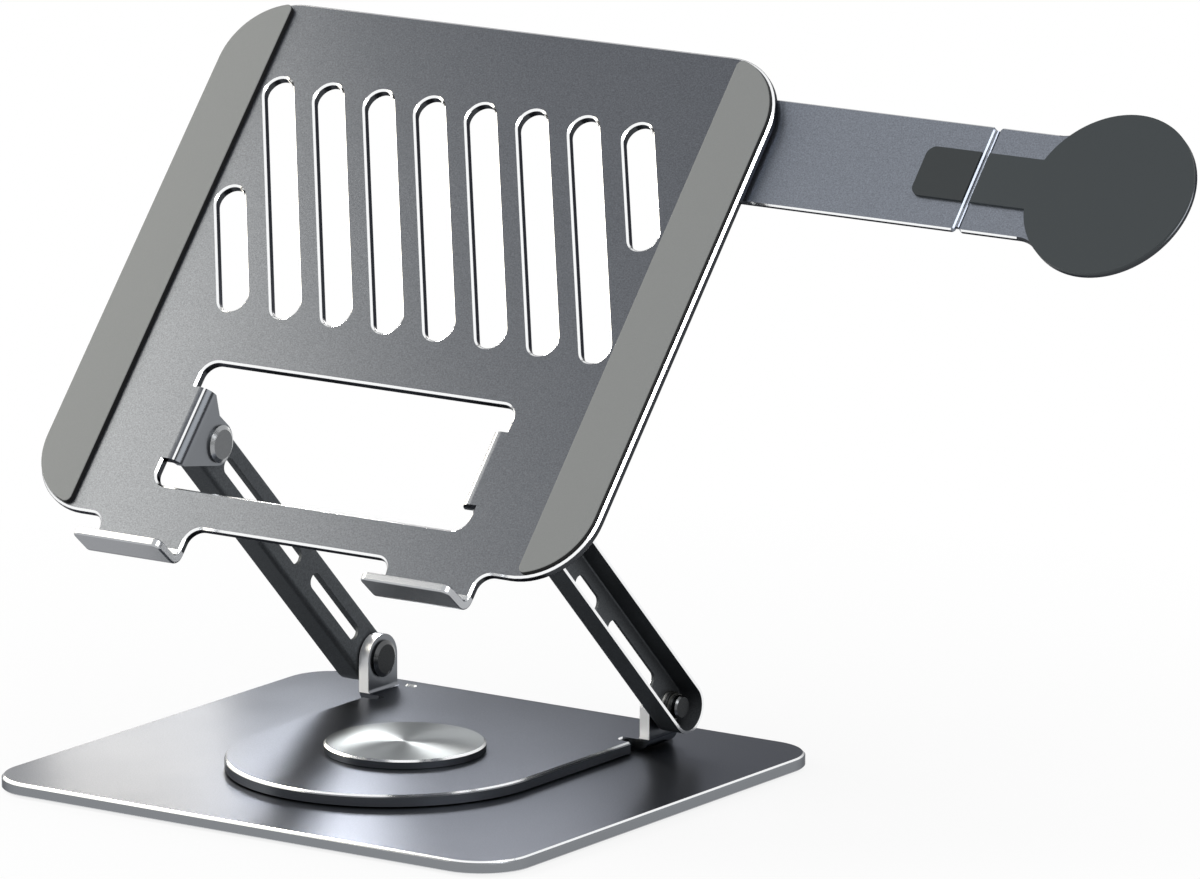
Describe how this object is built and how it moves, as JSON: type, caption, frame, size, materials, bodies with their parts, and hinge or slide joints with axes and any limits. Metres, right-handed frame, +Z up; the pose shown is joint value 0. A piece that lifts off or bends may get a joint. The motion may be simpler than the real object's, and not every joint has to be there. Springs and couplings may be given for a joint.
{
  "type": "rotating laptop stand",
  "caption": "Folding laptop stand: a slotted tilting tray with front hooks on two hinged legs, a turntable on a flat base, and a slide-out arm with a round phone disc.",
  "frame": {"origin": "on the swivel axis, in the plane that the feet stand on", "axes": "+Z up along the swivel axis, -Y towards the user, +X to the user's right, along the phone arm"},
  "size_m": [0.4475, 0.223, 0.282],
  "materials": {
    "space_grey": "bead-blasted and anodised dark grey",
    "foot_rubber": "matte black",
    "pad_silicone": "matte grey",
    "arm_facing": "matte slate",
    "pin_steel": "black-nickel plated",
    "spring_steel": "oiled",
    "glide_plastic": "natural acetal",
    "rail_plastic": "matte black acetal",
    "magnet_metal": "nickel plated",
    "fibre": "dark friction material"
  },
  "bodies": {
    "base": {"base_plate": "space_grey", "foot_front_left": "foot_rubber", "foot_front_right": "foot_rubber", "foot_rear_left": "foot_rubber", "foot_rear_right": "foot_rubber", "foot_center": "foot_rubber", "swivel_bolt": "pin_steel", "swivel_nut": "pin_steel"},
    "turntable": {"turntable_plate": "space_grey", "swivel_cap": "space_grey", "glide_ring": "glide_plastic", "swivel_washer": "fibre", "lower_pin_left": "pin_steel", "lower_washer_left": "fibre", "lower_spring_left": "spring_steel", "lower_collar_left": "pin_steel", "lower_pin_right": "pin_steel", "lower_washer_right": "fibre", "lower_spring_right": "spring_steel", "lower_collar_right": "pin_steel"},
    "legs": {"leg_left": "space_grey", "leg_right": "space_grey"},
    "hinge_carrier": {"upper_pin_left": "pin_steel", "upper_washer_left": "fibre", "upper_spring_left": "spring_steel", "upper_collar_left": "pin_steel", "upper_pin_right": "pin_steel", "upper_washer_right": "fibre", "upper_spring_right": "spring_steel", "upper_collar_right": "pin_steel"},
    "tray": {"tray": "space_grey", "tray_pad_left": "pad_silicone", "tray_pad_right": "pad_silicone", "guide_rail_upper": "rail_plastic", "guide_rail_lower": "rail_plastic", "guide_bracket": "pin_steel", "guide_screw_upper_inner": "pin_steel", "guide_screw_upper_outer": "pin_steel", "guide_screw_lower_inner": "pin_steel", "guide_screw_lower_outer": "pin_steel"},
    "arm": {"arm_bar": "space_grey", "arm_pad": "arm_facing", "fold_pin": "pin_steel"},
    "disc": {"disc_plate": "space_grey", "disc_pad": "arm_facing", "magnet_ring": "magnet_metal"}
  },
  "joints": [
    {"name": "base_swivel", "type": "hinge", "parent": "base", "child": "turntable", "pos_m": [0, 0, 0.006], "axis": [0, 0, 1], "continuous": true},
    {"name": "leg_fold", "type": "hinge", "parent": "turntable", "child": "legs", "pos_m": [0, 0.0754, 0.0238], "axis": [1, 0, 0], "range_deg": [-55, 37]},
    {"name": "tray_follow", "type": "hinge", "parent": "legs", "child": "hinge_carrier", "pos_m": [0, -0.02977, 0.12934], "axis": [1, 0, 0], "range_deg": [-37, 55]},
    {"name": "tray_tilt", "type": "hinge", "parent": "hinge_carrier", "child": "tray", "pos_m": [0, -0.02977, 0.12934], "axis": [1, 0, 0], "range_deg": [-49.4, 0]},
    {"name": "arm_slide", "type": "slide", "parent": "tray", "child": "arm", "axis": [1, 0, 0], "range_m": [-0.088, 0]},
    {"name": "disc_fold", "type": "hinge", "parent": "arm", "child": "disc", "pos_m": [0.2243, 0.05734, 0.25118], "axis": [0, -0.6508, -0.7593], "range_deg": [-60, 60]}
  ],
  "couplings": [
    {"joint": "tray_follow", "follows": "leg_fold", "ratio": -1}
  ]
}
